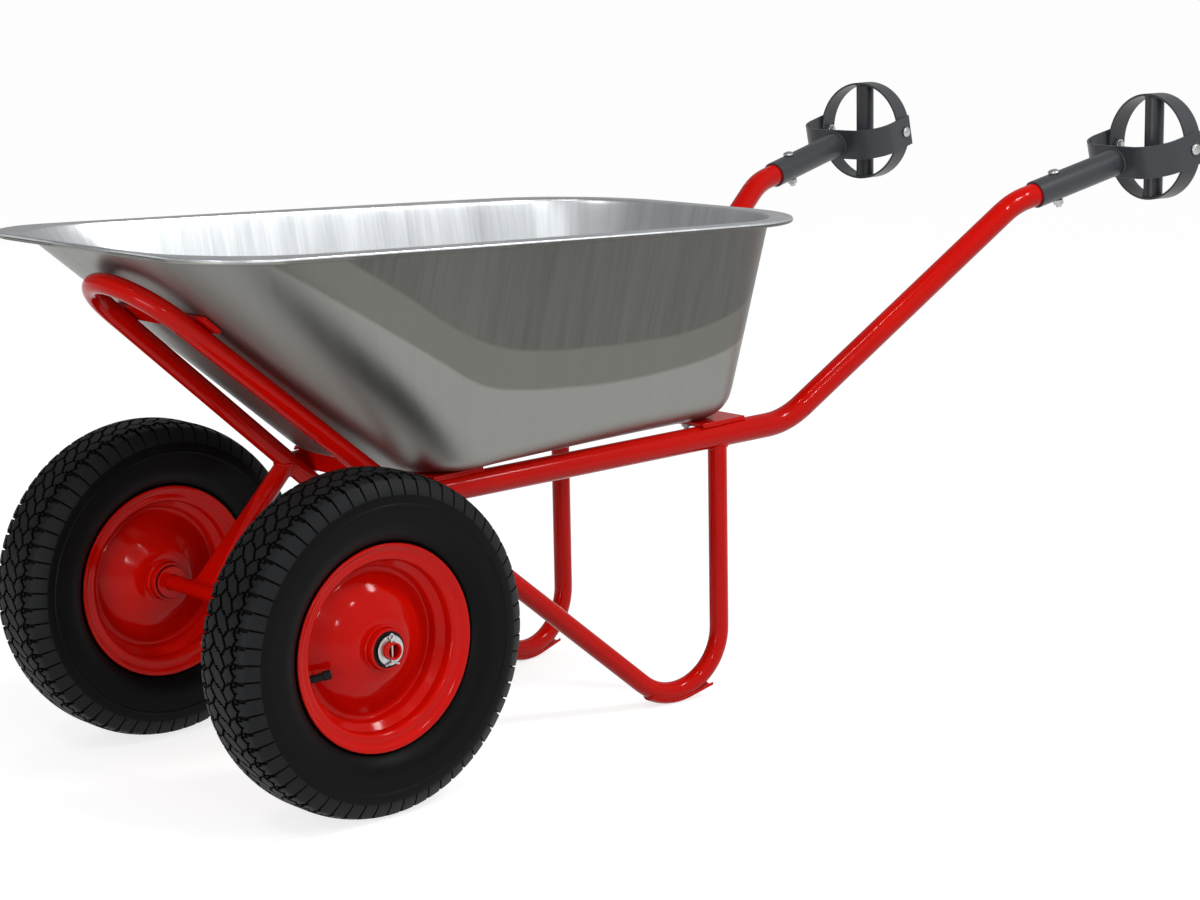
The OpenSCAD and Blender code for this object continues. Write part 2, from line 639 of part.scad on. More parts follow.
// Tyre section: beads on the rim's seats, side walls that bulge over its edges, and the crown
bead_r = bead_d / 2 + weld_gap;
toe_w = rim_w * seat_start_share + rim_t;
bulge_share = 0.16;
shoulder_share = 0.28;
edge_share = 0.06;
crown_share = 0.5;
tyre_h = (tyre_d - rim_d) / 2;
tyre_half = [
  [bead_r, toe_w], [bead_r, seat_w - seat_gap], [rim_d / 2 + rim_t, seat_w - seat_gap],
  [rim_d / 2 + tyre_h * bulge_share, tyre_w / 2], [tyre_d / 2 - tyre_h * shoulder_share, tyre_w / 2],
  [tyre_d / 2 - tyre_h * edge_share, tread_w / 2], [tyre_d / 2, tread_w / 2 * crown_share]
];
heel_share = 2.2;
tyre_bend_shares = [0.08, 0.28, 0.36, 0.12, 0.5];
bead_top_share = 0.5;
cavity_half = [
  [bead_r, toe_w], [mix(bead_r, rim_d / 2, bead_top_share), toe_w], [rim_d / 2 + side_t, seat_w - side_t],
  [rim_d / 2 + tyre_h * bulge_share + side_t, tyre_w / 2 - side_t],
  [tyre_d / 2 - tyre_h * shoulder_share, tyre_w / 2 - side_t],
  [tyre_d / 2 - tread_t, tread_w / 2 * crown_share]
];
cavity_bend_shares = [0.08, 0.1, 0.2, 0.3, 0.25];
tube_gap = 0.4;
tube_wall = 2;
function both_halves(half, radii) = rounded_path(concat(half, flipped(half)),
  concat(radii, [for (i = [len(radii) - 1:-1:0]) radii[i]]), path_n);
tyre_path = both_halves(tyre_half, concat([rim_t * heel_share], tyre_bend_shares * tyre_h));
cavity_path = both_halves(cavity_half, cavity_bend_shares * tyre_h);
module tyre() rotate_extrude() difference() {
  polygon(tyre_path);
  polygon(cavity_path);
}
module left_tyre() color(rubber) wheel(1) tyre();
module right_tyre() color(rubber) wheel(-1) tyre();
module inner_tube() {
  rotate_extrude() difference() {
    polygon(moved_loop(cavity_path, -tube_gap));
    polygon(moved_loop(cavity_path, -tube_gap - tube_wall));
  }
}
module left_inner_tube() color(rubber) wheel(1) inner_tube();
module right_inner_tube() color(rubber) wheel(-1) inner_tube();

// Hub and its two ball bearings, each behind a seal that is flush with the hub's end
seal_t = 2;
pocket_l = bearing_w + seal_t;
hub_shoulder = 3;
module hub() {
  difference() {
    cylinder(d = hub_d, h = hub_l, center = true);
    cylinder(d = bearing_d - 2 * hub_shoulder, h = 2 * hub_l, center = true);
    for (s = [-1, 1]) translate([0, 0, s * (hub_l - pocket_l + cut_over) / 2])
      cylinder(d = bearing_d + 2 * turn_gap, h = pocket_l + cut_over, center = true);
  }
}
module left_hub() color(red_paint) wheel(1) hub();
module right_hub() color(red_paint) wheel(-1) hub();
ball_ring_r = (bearing_d + axle_d) / 4;
land_share = 0.3;
module at_bearings() {
  for (s = [-1, 1]) translate([0, 0, s * (hub_l / 2 - seal_t - bearing_w / 2)]) children();
}
module race(r_in, r_out) {
  rotate_extrude() difference() {
    translate([r_in, -bearing_w / 2]) square([r_out - r_in, bearing_w]);
    translate([ball_ring_r, 0]) circle(d = ball_d + 2 * turn_gap);
  }
}
module outer_races() at_bearings() race(ball_ring_r + ball_d * land_share, bearing_d / 2);
module inner_races() at_bearings() race(axle_d / 2 + turn_gap, ball_ring_r - ball_d * land_share);
module bearing_balls() {
  at_bearings() for (i = [0:ball_n - 1]) rotate([0, 0, 360 * i / ball_n])
    translate([ball_ring_r, 0, 0]) sphere(d = ball_d);
}
module bearing_seals() {
  for (s = [-1, 1]) translate([0, 0, s * (hub_l - seal_t) / 2])
    linear_extrude(seal_t - 2 * turn_gap, center = true) ring(bearing_d, axle_d + 2 * side_play);
}
module left_outer_races() color(zinc_plate) wheel(1) outer_races();
module right_outer_races() color(zinc_plate) wheel(-1) outer_races();
module left_inner_races() color(zinc_plate) wheel(1) inner_races();
module right_inner_races() color(zinc_plate) wheel(-1) inner_races();
module left_bearing_balls() color(zinc_plate) wheel(1) bearing_balls();
module right_bearing_balls() color(zinc_plate) wheel(-1) bearing_balls();
module left_bearing_seals() color(rubber) wheel(1) bearing_seals();
module right_bearing_seals() color(rubber) wheel(-1) bearing_seals();

// Handles, drawn round the middle of the grip: X along the handle to the rear, Y across it
module at_handle() translate(grip_mid) rotate([0, -handle_pitch, handle_yaw]) children();
module at_hoop() translate(grip_mid) rotate([0, 0, handle_yaw]) children();
module at_sleeve_bolt() at_handle() translate([sleeve_bolt_x - yoke_reach - sleeve_l, 0, 0]) children();
module sleeve() {
  difference() {
    at_handle() translate([-yoke_reach - sleeve_l, 0, 0]) rotate([0, 90, 0])
      linear_extrude(sleeve_l - weld_gap) ring(sleeve_d, rail_d + 2 * hole_play);
    at_sleeve_bolt() bolt_hole(sleeve_d);
  }
}
module left_sleeve() color(grey_paint) placed() sleeve();
module right_sleeve() color(grey_paint) placed() right_side() sleeve();
yoke_half = hoop_d / 2 + side_play + strap_t;
module yoke_outline(half, back, r, tip) {
  translate([back + r, -half]) square([tip - back - r, 2 * half]);
  translate([back, r - half]) square([r, 2 * (half - r)]);
  for (s = [-1, 1]) translate([back + r, s * (half - r)]) circle(r = r);
}
module yoke() {
  at_handle() difference() {
    translate([0, 0, -yoke_h / 2]) linear_extrude(yoke_h) difference() {
      yoke_outline(yoke_half, -yoke_reach, yoke_corner_r, yoke_tip);
      yoke_outline(yoke_half - strap_t, strap_t - yoke_reach, yoke_corner_r - strap_t, yoke_tip + cut_over);
    }
    rotate([90, 0, 0]) cylinder(d = bolt_d + 2 * turn_gap, h = 4 * yoke_half, center = true);
  }
}
module left_yoke() color(grey_paint) placed() yoke();
module right_yoke() color(grey_paint) placed() right_side() yoke();
hoop_in_r = hoop_d / 2 - strap_t;
module hoop() {
  at_hoop() difference() {
    rotate([0, 90, 0]) linear_extrude(hoop_w, center = true) ring(hoop_d, 2 * hoop_in_r);
    rotate([90, 0, 0]) cylinder(d = bolt_d + 2 * turn_gap, h = 2 * hoop_d, center = true);
  }
}
module left_hoop() color(grey_paint) placed() hoop();
module right_hoop() color(grey_paint) placed() right_side() hoop();
module grip_tube() {
  at_hoop() intersection() {
    linear_extrude(hoop_d, center = true) ring(grip_d, grip_d - 2 * grip_wall);
    rotate([0, 90, 0]) cylinder(r = hoop_in_r - weld_gap, h = 2 * grip_d, center = true);
  }
}
module left_grip_tube() color(grey_paint) placed() grip_tube();
module right_grip_tube() color(grey_paint) placed() right_side() grip_tube();

// Fasteners: a bolt hangs from the underside of its head, a nut from its upper face
bolt_head_shares = [[1, 0], [1, 0.35], [0.85, 0.75], [0.5, 1], [0, 1], [0, 0]];
bolt_past = 4;
tub_bolt_past = 20;
module bolt(grip_l, past) {
  shank_l = grip_l + nut_h + past;
  rotate_extrude() polygon([for (p = bolt_head_shares) [p.x * bolt_head_d / 2, p.y * bolt_head_h]]);
  translate([0, 0, -shank_l]) cylinder(d = bolt_d, h = shank_l);
}
module nut() {
  difference() {
    translate([0, 0, -nut_h]) cylinder(d = nut_w / cos(30), h = nut_h, $fn = 6);
    bolt_bore(nut_h);
  }
}
module bolt_bore(reach) translate([0, 0, -2 * reach]) cylinder(d = bolt_d + 2 * turn_gap, h = 3 * reach);
sleeve_bolt_l = sleeve_d + 2 * seat_gap;
module sleeve_bolts() {
  color(zinc_plate) placed() both_sides() at_sleeve_bolt()
    translate([0, 0, sleeve_bolt_l / 2]) bolt(sleeve_bolt_l, bolt_past);
}
module sleeve_nuts() {
  color(zinc_plate) placed() both_sides() at_sleeve_bolt() translate([0, 0, -sleeve_bolt_l / 2]) nut();
}
nut_corner_r = nut_w / cos(30) / 2;
pivot_nut_y = sqrt(pow(hoop_in_r, 2) - pow(nut_corner_r, 2)) - seat_gap;
pivot_head_y = yoke_half + side_play;
module at_pivots(y) at_hoop() for (s = [-1, 1]) rotate([-90 * s, 0, 0]) translate([0, 0, y]) children();
module pivot_bolts() at_pivots(pivot_head_y) bolt(pivot_head_y - pivot_nut_y, bolt_past);
module pivot_nuts() at_pivots(pivot_nut_y) nut();
module left_pivot_bolts() color(zinc_plate) placed() pivot_bolts();
module right_pivot_bolts() color(zinc_plate) placed() right_side() pivot_bolts();
module left_pivot_nuts() color(zinc_plate) placed() pivot_nuts();
module right_pivot_nuts() color(zinc_plate) placed() right_side() pivot_nuts();
tub_stack = tub_t + seat_gap + bar_t;
module tub_bolts() {
  color(zinc_plate) placed() at_tub_bolts()
    translate([0, 0, seat_gap]) bolt(tub_stack + washer_t + 3 * seat_gap, tub_bolt_past);
}
module tub_washers() {
  color(zinc_plate) placed() at_tub_bolts() translate([0, 0, -tub_stack - seat_gap - washer_t])
    linear_extrude(washer_t) ring(washer_d, bolt_d + 2 * hole_play);
}
module tub_nuts() {
  color(zinc_plate) placed() at_tub_bolts() translate([0, 0, -tub_stack - washer_t - 2 * seat_gap]) nut();
}

tub();
leg_loop();
left_rail();
right_rail();
left_strut();
right_strut();
left_skid();
right_skid();
nose_strip();
front_crossbar();
rear_crossbar();
axle();
axle_collars();
axle_washers();
split_pins();
left_tyre();
right_tyre();
left_inner_tube();
right_inner_tube();
left_outer_rim_half();
right_outer_rim_half();
left_inner_rim_half();
right_inner_rim_half();
left_hub();
right_hub();
left_outer_races();
right_outer_races();
left_inner_races();
right_inner_races();
left_bearing_balls();
right_bearing_balls();
left_bearing_seals();
right_bearing_seals();
left_valve();
right_valve();
left_sleeve();
right_sleeve();
left_yoke();
right_yoke();
left_hoop();
right_hoop();
left_grip_tube();
right_grip_tube();
sleeve_bolts();
sleeve_nuts();
left_pivot_bolts();
right_pivot_bolts();
left_pivot_nuts();
right_pivot_nuts();
tub_bolts();
tub_washers();
tub_nuts();
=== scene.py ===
# %% [markdown]
# # A two wheel wheelbarrow
# The barrow is a pressed steel tub on a frame of bent tube, with two air-filled wheels on one axle and
# swivelling hoop grips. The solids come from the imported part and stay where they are. This lesson dresses
# them: smooth sheet metal, treaded rubber, gloss paint, weld beads, light and a camera.

# %% Load the solids and note their size
import json
from math import atan2, cos, hypot, pi, radians, sin, tan
import bmesh
import bpy
from mathutils import Matrix, Quaternion, Vector
from mathutils.bvhtree import BVHTree


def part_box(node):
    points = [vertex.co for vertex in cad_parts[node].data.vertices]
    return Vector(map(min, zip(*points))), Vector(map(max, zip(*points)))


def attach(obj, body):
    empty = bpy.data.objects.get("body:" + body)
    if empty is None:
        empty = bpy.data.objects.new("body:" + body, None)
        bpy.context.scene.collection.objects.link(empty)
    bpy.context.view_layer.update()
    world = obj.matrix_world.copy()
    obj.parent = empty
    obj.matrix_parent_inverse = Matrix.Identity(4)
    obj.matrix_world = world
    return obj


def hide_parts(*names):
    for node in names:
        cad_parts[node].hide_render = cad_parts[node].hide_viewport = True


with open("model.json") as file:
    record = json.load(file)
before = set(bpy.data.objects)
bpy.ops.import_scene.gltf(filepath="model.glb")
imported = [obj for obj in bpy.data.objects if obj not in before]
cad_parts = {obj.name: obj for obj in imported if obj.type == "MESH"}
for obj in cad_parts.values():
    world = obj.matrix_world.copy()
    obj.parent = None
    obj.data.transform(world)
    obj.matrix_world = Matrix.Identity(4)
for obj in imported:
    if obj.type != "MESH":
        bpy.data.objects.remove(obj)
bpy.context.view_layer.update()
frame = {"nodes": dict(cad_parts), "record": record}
MM = 0.001
axle_lo, axle_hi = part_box("axle")
AXLE = Vector(((axle_lo.x + axle_hi.x) / 2, 0, (axle_lo.z + axle_hi.z) / 2))
print("solids:", len(frame["nodes"]), "axle at", [round(a, 4) for a in AXLE])

# %% [markdown]
# The camera stands in front of the barrow on its left, a little above the tub, and looks across both
# wheels. Its place was found by matching the wheels' circles, the rails and the tub's rim with the
# photograph, so it is written as angles, a distance and a focal length.

# %% Camera at the photograph's view
CAM_AZ, CAM_EL, CAM_ROLL = radians(41.0231), radians(10.9188), radians(-1.0596)
CAM_DISTANCE, CAM_AIM = 3.5076, Vector((AXLE.x - 0.5566, 0, 0.3141))
FOCAL_PIXELS, IMAGE_WIDTH, SENSOR_WIDTH = 2640.71, 1200, 36

back = Vector((sin(CAM_AZ) * cos(CAM_EL), cos(CAM_AZ) * cos(CAM_EL), sin(CAM_EL)))
right = (-back).cross(Vector((0, 0, 1))).normalized()
level = Matrix((right, right.cross(-back), back)).transposed()
turn = (level @ Matrix.Rotation(CAM_ROLL, 3, "Z")).to_4x4()
camera = bpy.data.cameras.new("camera")
camera.sensor_width = SENSOR_WIDTH
camera.lens = FOCAL_PIXELS * SENSOR_WIDTH / IMAGE_WIDTH
camera_object = bpy.data.objects.new("camera", camera)
camera_object.matrix_world = Matrix.Translation(CAM_AIM + back * CAM_DISTANCE) @ turn
bpy.context.scene.collection.objects.link(camera_object)
bpy.context.scene.camera = camera_object
print("lens", round(camera.lens, 2), "mm")

# %% [markdown]
# A material is a small graph of nodes. One function adds a node, sets its plain values and links its
# inputs, so that each finish below reads as a list of what it is made of. Colours are written as the hex
# values seen on a screen and turned into linear light once.

# %% Helpers for materials
def linear(hex_colour):
    """Screen colour such as "C81E10" as linear light."""
    steps = [int(hex_colour[i:i + 2], 16) / 255 for i in (0, 2, 4)]
    return [s / 12.92 if s <= 0.04045 else ((s + 0.055) / 1.055) ** 2.4 for s in steps] + [1]


def add(tree, kind, inputs=None, **settings):
    """One node of a graph, with its settings, and with values or links on its inputs."""
    node = tree.nodes.new(kind)
    for name, value in settings.items():
        setattr(node, name, value)
    for socket, value in (inputs or {}).items():
        if isinstance(value, bpy.types.NodeSocket):
            tree.links.new(value, node.inputs[socket])
        else:
            node.inputs[socket].default_value = value
    return node


def set_curve(node, line):
    """Shape of a float curve from its points, first and last included."""
    points = node.mapping.curves[0].points
    points[0].location, points[1].location = line[0], line[-1]
    for place in line[1:-1]:
        points.new(*place)
    node.mapping.update()


def blank_material(name):
    material = bpy.data.materials.new(name)
    material.use_nodes = True
    material.node_tree.nodes.clear()
    return material, material.node_tree


WHITE = linear("FFFFFF")
print("screen grey 808080 as linear light:", round(linear("808080")[0], 3))

# %% [markdown]
# Light decides how paint and zinc look. The surround is a room that is brighter above the horizon and
# towards the barrow's left side, so that sheet metal shades from pale to dark as it turns. A picture of a
# room could do the same, but a curve over the height and a share by the side are easier to adjust.

# %% Surround
bpy.context.scene.view_settings.view_transform = "Standard"
ROOM_LIGHT = ((0.0, 0.8), (0.15, 0.88), (0.35, 1.0), (0.7, 0.95), (0.9, 0.6), (1.0, 0.5))
BRIGHT_SIDE, DIM_SHARE, BRIGHT_SHARE = (-0.3, 0.954, 0), 0.3, 0.87

world = bpy.data.worlds.new("bright_room")
world.use_nodes = True
tree = world.node_tree
tree.nodes.clear()
direction = add(tree, "ShaderNodeTexCoord").outputs["Generated"]
up = add(tree, "ShaderNodeSeparateXYZ", {"Vector": direction})
room = add(tree, "ShaderNodeFloatCurve", {"Value": up.outputs["Z"]})
set_curve(room, ROOM_LIGHT)
side = add(tree, "ShaderNodeVectorMath", {0: direction, 1: BRIGHT_SIDE}, operation="DOT_PRODUCT")
share = add(tree, "ShaderNodeMapRange", {"Value": side.outputs["Value"], "From Min": -1, "To Min": DIM_SHARE,
                                         "To Max": BRIGHT_SHARE})
strength = add(tree, "ShaderNodeMath", {0: room.outputs[0], 1: share.outputs[0]}, operation="MULTIPLY")
surround = add(tree, "ShaderNodeBackground", {"Color": WHITE, "Strength": strength.outputs[0]})
add(tree, "ShaderNodeOutputWorld", {"Surface": surround.outputs[0]})
bpy.context.scene.world = world
print("room light from", DIM_SHARE, "to", BRIGHT_SHARE)

# %% [markdown]
# The floor is a large pale sheet. Its own grey keeps the soft shadow of the barrow, and a glow lifts it to
# white where the camera or a reflection sees it. The glow lights nothing else, so the paint keeps its colour.

# %% Floor
FLOOR_REACH, FLOOR_GREY, FLOOR_LIFT = 400, "B4B4B4", 0.76

floor_mesh = bpy.data.meshes.new("floor")
bm = bmesh.new()
bmesh.ops.create_grid(bm, x_segments=1, y_segments=1, size=FLOOR_REACH)
bm.to_mesh(floor_mesh)
bm.free()
floor = bpy.data.objects.new("floor", floor_mesh)
bpy.context.scene.collection.objects.link(floor)
floor_paint, tree = blank_material("white_studio_floor")
ray = add(tree, "ShaderNodeLightPath").outputs
seen = add(tree, "ShaderNodeMath", {0: ray["Is Camera Ray"], 1: ray["Is Glossy Ray"]}, operation="MAXIMUM")
seen = add(tree, "ShaderNodeMath", {0: seen.outputs[0], 1: ray["Is Transmission Ray"]}, operation="MAXIMUM")
lift = add(tree, "ShaderNodeMath", {0: seen.outputs[0], 1: FLOOR_LIFT}, operation="MULTIPLY")
glow = add(tree, "ShaderNodeEmission", {"Color": WHITE, "Strength": lift.outputs[0]})
matt = add(tree, "ShaderNodeBsdfDiffuse", {"Color": linear(FLOOR_GREY)})
both = add(tree, "ShaderNodeAddShader", {0: matt.outputs[0], 1: glow.outputs[0]})
add(tree, "ShaderNodeOutputMaterial", {"Surface": both.outputs[0]})
floor_mesh.materials.append(floor_paint)
print("floor reaches", FLOOR_REACH, "m each way")

# %% [markdown]
# Window lamps draw the streaks along the tubes and the patches on the rims. A patch shows where the paint
# mirrors a lamp to the camera, so each small lamp stands where the mirrored line of sight from a patch ends.
# The open gate is larger and low, and fills the shade between the wheels.

# %% Lamps
LAMPS = {  # place, aim, size along and across, watts
    "skylight": ((0.5, 0.7, 2.8), (0.4, 0.2, 0.3), (0.3, 0.22), 7),
    "window_behind": ((-0.84, 1.42, 2.08), (0.4, 0.2, 0.3), (0.32, 0.46), 18),
    "window_beside": ((0.4, 2.25, 1.9), (0.6, 0.25, 0.3), (0.2, 0.14), 5),
    "door_in_front": ((1.5, 2.5, 1.2), (0.6, 0.25, 0.3), (0.14, 0.28), 5),
    "open_gate": ((2.6, 0.9, 0.35), (0.4, -0.2, 0.25), (1, 0.6), 14),
    "window_in_front": ((2.2, 0.55, 2.6), (-0.2, 0.25, 0.5), (0.3, 0.24), 9),
}
for name, (place, aim, size, watts) in LAMPS.items():
    lamp = bpy.data.lights.new(name, "AREA")
    lamp.shape, lamp.size, lamp.size_y, lamp.energy = "RECTANGLE", size[0], size[1], watts
    lamp_object = bpy.data.objects.new(name, lamp)
    facing = (Vector(aim) - Vector(place)).to_track_quat("-Z", "Y")
    lamp_object.matrix_world = Matrix.Translation(place) @ facing.to_matrix().to_4x4()
    bpy.context.scene.collection.objects.link(lamp_object)
print("lamps:", ", ".join(LAMPS))

# %% [markdown]
# Galvanised sheet is steel with a thin skin of zinc. The press drags the sheet over the die, so the outside
# of the tub has fine streaks up the wall, and stays pale and smooth below a curved line where it never
# touched the die. The inside keeps the zinc's own pale grey. The outside's darker greys, above and below
# the lines, are painted shade: the colour of the dim surround that these walls mirror. The streaks follow
# the tub's own map, metres round the wall and up it, and the curved lines are drawn by height along the
# barrow.

# %% Curved lines below which the zinc stays smooth
DRAW_LINE = ((-0.17, 0.53), (-0.05, 0.474), (0.0, 0.459), (0.08, 0.449), (0.17, 0.445), (0.25, 0.448),
             (0.33, 0.455), (0.38, 0.465), (0.41, 0.478), (0.45, 0.501), (0.51, 0.535), (0.57, 0.569),
             (0.8, 0.7))
FAINT_LINE = ((-0.17, 0.58), (-0.04, 0.519), (0.05, 0.497), (0.14, 0.493), (0.22, 0.495), (0.3, 0.5),
              (0.36, 0.51), (0.4, 0.523), (0.46, 0.553), (0.52, 0.59), (0.57, 0.618), (0.8, 0.74))
LINE_START, LINE_SPAN, LINE_BLUR = -0.2, 1.0, 3 * MM
# The greys below the lines are darkened with the rest of the outside: painted shade.
ZINC_BELOW_PAINTED_SHADE = ((FAINT_LINE, "6D6D68"), (DRAW_LINE, "868783"))


def smooth_below(tree, place, shade):
    """The colour of drawn zinc, replaced below each curved line by smoother zinc; both greys hold painted
    shade.
    """
    axes = add(tree, "ShaderNodeSeparateXYZ", {"Vector": place})
    along = add(tree, "ShaderNodeMapRange", {"Value": axes.outputs["X"], "From Min": LINE_START,
                                             "From Max": LINE_START + LINE_SPAN})
    for line, smooth_zinc_in_painted_shade in ZINC_BELOW_PAINTED_SHADE:
        curve = add(tree, "ShaderNodeFloatCurve", {"Value": along.outputs[0]})
        set_curve(curve, [((x - LINE_START) / LINE_SPAN, z) for x, z in line])
        below = add(tree, "ShaderNodeMath", {0: curve.outputs[0], 1: axes.outputs["Z"]}, operation="SUBTRACT")
        below = add(tree, "ShaderNodeMapRange", {"Value": below.outputs[0], "From Min": -LINE_BLUR,
                                                 "From Max": LINE_BLUR}, interpolation_type="SMOOTHSTEP")
        shade = add(tree, "ShaderNodeMix", {"Factor": below.outputs[0], 6: shade, 7: linear(smooth_zinc_in_painted_shade)},
                    data_type="RGBA").outputs[2]
    return shade


print("lowest points of the lines:", [min(z for x, z in line) for line, smooth_zinc_in_painted_shade in ZINC_BELOW_PAINTED_SHADE])

# %% Galvanised steel of the tub, inside and outside
WIDE_STREAK, FINE_STREAK, STREAK_LENGTHS, ZINC_CLOUD = 30 * MM, 5 * MM, 40, 200 * MM


def galvanised_steel(name, dull, bright, roughness, drawn):
    # Satin zinc over steel: a grey metal with soft reflections and long fine streaks
    material, tree = blank_material(name)
    place = add(tree, "ShaderNodeTexCoord").outputs
    stretch = (1, 1 / STREAK_LENGTHS, 1)
    up_wall = add(tree, "ShaderNodeMapping", {"Vector": place["UV"], "Scale": stretch}).outputs[0]
    wide = add(tree, "ShaderNodeTexNoise", {"Vector": up_wall, "Scale": 1 / WIDE_STREAK, "Detail": 3})
    fine = add(tree, "ShaderNodeTexNoise", {"Vector": up_wall, "Scale": 1 / FINE_STREAK, "Detail": 4})
    cloud = add(tree, "ShaderNodeTexNoise", {"Vector": place["Object"], "Scale": 1 / ZINC_CLOUD, "Detail": 1})
    streaks = add(tree, "ShaderNodeMath", {0: fine.outputs[0], 1: wide.outputs[0]}, operation="ADD")
    streaks = add(tree, "ShaderNodeMapRange", {"Value": streaks.outputs[0], "From Min": 0.6,
                                               "From Max": 1.4}).outputs[0]
    tone = add(tree, "ShaderNodeMix", {"Factor": 0.6, 2: cloud.outputs[0], 3: streaks})
    colour = add(tree, "ShaderNodeMix", {"Factor": tone.outputs[0], 6: linear(dull), 7: linear(bright)},
                 data_type="RGBA").outputs[2]
    height = add(tree, "ShaderNodeBump", {"Height": streaks, "Strength": 0.15, "Distance": 0.2 * MM})
    rough = add(tree, "ShaderNodeMapRange", {"Value": streaks, "To Min": roughness - 0.05,
                                             "To Max": roughness + 0.05})
    shade = smooth_below(tree, place["Object"], colour) if drawn else colour
    shader = add(tree, "ShaderNodeBsdfPrincipled", {"Base Color": shade, "Metallic": 1.0,
                 "Roughness": rough.outputs[0], "Normal": height.outputs[0]})
    add(tree, "ShaderNodeOutputMaterial", {"Surface": shader.outputs[0]})
    return material


FINISH = {"galvanised_sheet": galvanised_steel("galvanised_steel_bright", "B4B8BB", "E2E5E8", 0.34, False)}
# The inside takes the zinc's own pale grey; the outside's darker greys are painted shade.
drawn_outside_painted_shade = galvanised_steel("galvanised_steel_drawn_painted_shade", "4D4D4A", "6A6A66", 0.42, True)
print("tub finishes:", FINISH["galvanised_sheet"].name, drawn_outside_painted_shade.name)

# %% [markdown]
# The frame and the rims are powder coated: plastic powder melted onto the steel. It flows out to a thick
# gloss skin with a faint orange-peel ripple, so the paint shader is smooth and gets a shallow bump.

# %% Powder coats
COLOUR_DRIFT = 90 * MM


def powder_coat(name, deep, bright, roughness, ior, ripple_mm):
    # Even colour under a smooth skin: sharp lamp reflections that waver slightly
    material, tree = blank_material(name)
    place = add(tree, "ShaderNodeTexCoord").outputs["Object"]
    drift = add(tree, "ShaderNodeTexNoise", {"Vector": place, "Scale": 1 / COLOUR_DRIFT, "Detail": 2})
    peel = add(tree, "ShaderNodeTexNoise", {"Vector": place, "Scale": 1 / (ripple_mm * MM), "Detail": 1})
    colour = add(tree, "ShaderNodeMix", {"Factor": drift.outputs[0], 6: linear(deep), 7: linear(bright)},
                 data_type="RGBA")
    rough = add(tree, "ShaderNodeMapRange", {"Value": peel.outputs[0], "To Min": roughness - 0.03,
                                             "To Max": roughness + 0.03})
    bump = add(tree, "ShaderNodeBump", {"Height": peel.outputs[0], "Strength": 0.1, "Distance": 0.04 * MM})
    shader = add(tree, "ShaderNodeBsdfPrincipled", {"Base Color": colour.outputs[2], "IOR": ior,
                 "Roughness": rough.outputs[0], "Normal": bump.outputs[0]})
    add(tree, "ShaderNodeOutputMaterial", {"Surface": shader.outputs[0]})
    return material


FINISH["red_paint"] = powder_coat("red_powder_coat", "BC0801", "CA0C02", 0.11, 1.22, 6)
FINISH["graphite_paint"] = powder_coat("graphite_powder_coat", "33363A", "3E4145", 0.34, 1.4, 2)
print("paints:", FINISH["red_paint"].name, FINISH["graphite_paint"].name)

# %% [markdown]
# Tyre rubber is filled with carbon black. Moulding leaves it matt, with a grey bloom in clouds. The grooves
# and the side walls get darker copies of it: painted shade in the grooves, and on the side walls that turn
# away from the light above. The valve and the seals are softer, plainer moulded rubber.

# %% Rubbers
BLOOM_CLOUD = 45 * MM


def moulded_rubber(name, dark, bloom, roughness, ior, grit_mm):
    # Matt black with a cool grey bloom in clouds and a fine grain from the mould
    material, tree = blank_material(name)
    place = add(tree, "ShaderNodeTexCoord").outputs["Object"]
    cloud = add(tree, "ShaderNodeTexNoise", {"Vector": place, "Scale": 1 / BLOOM_CLOUD, "Detail": 5})
    grit = add(tree, "ShaderNodeTexNoise", {"Vector": place, "Scale": 1 / (grit_mm * MM), "Detail": 3})
    colour = add(tree, "ShaderNodeMix", {"Factor": cloud.outputs[0], 6: linear(dark), 7: linear(bloom)},
                 data_type="RGBA")
    rough = add(tree, "ShaderNodeMapRange", {"Value": cloud.outputs[0], "To Min": roughness - 0.08,
                                             "To Max": roughness + 0.08})
    bump = add(tree, "ShaderNodeBump", {"Height": grit.outputs[0], "Strength": 0.3, "Distance": 0.2 * MM})
    shader = add(tree, "ShaderNodeBsdfPrincipled", {"Base Color": colour.outputs[2], "IOR": ior,
                 "Roughness": rough.outputs[0], "Normal": bump.outputs[0]})
    add(tree, "ShaderNodeOutputMaterial", {"Surface": shader.outputs[0]})
    return material


FINISH["tyre_rubber"] = moulded_rubber("tyre_rubber_moulded", "0A0A0B", "1A1C1E", 0.55, 1.24, 1.2)
FINISH["black_rubber"] = moulded_rubber("soft_rubber_moulded", "0B0B0C", "161718", 0.5, 1.24, 0.8)
# Darker copies of the rubber for the grooves and the side walls: painted shade.
groove_rubber_painted_shade = moulded_rubber("tyre_rubber_painted_shade_in_grooves", "040404", "080808", 0.7, 1.2, 1.2)
# The side walls' darker rubber is painted shade, where they turn away from the light above.
side_rubber_painted_shade = moulded_rubber("tyre_rubber_painted_shade_on_side_walls", "040404", "0A0A0B", 0.45, 1.18, 1.2)
print("rubbers on the tyres:", FINISH["tyre_rubber"].name, groove_rubber_painted_shade.name, side_rubber_painted_shade.name)

# %% [markdown]
# Bolts, washers and pins are zinc plated and bearings are ground steel. Both are metals: plating is
# slightly cloudy and pale, grinding leaves fine rings that only soften the reflections.

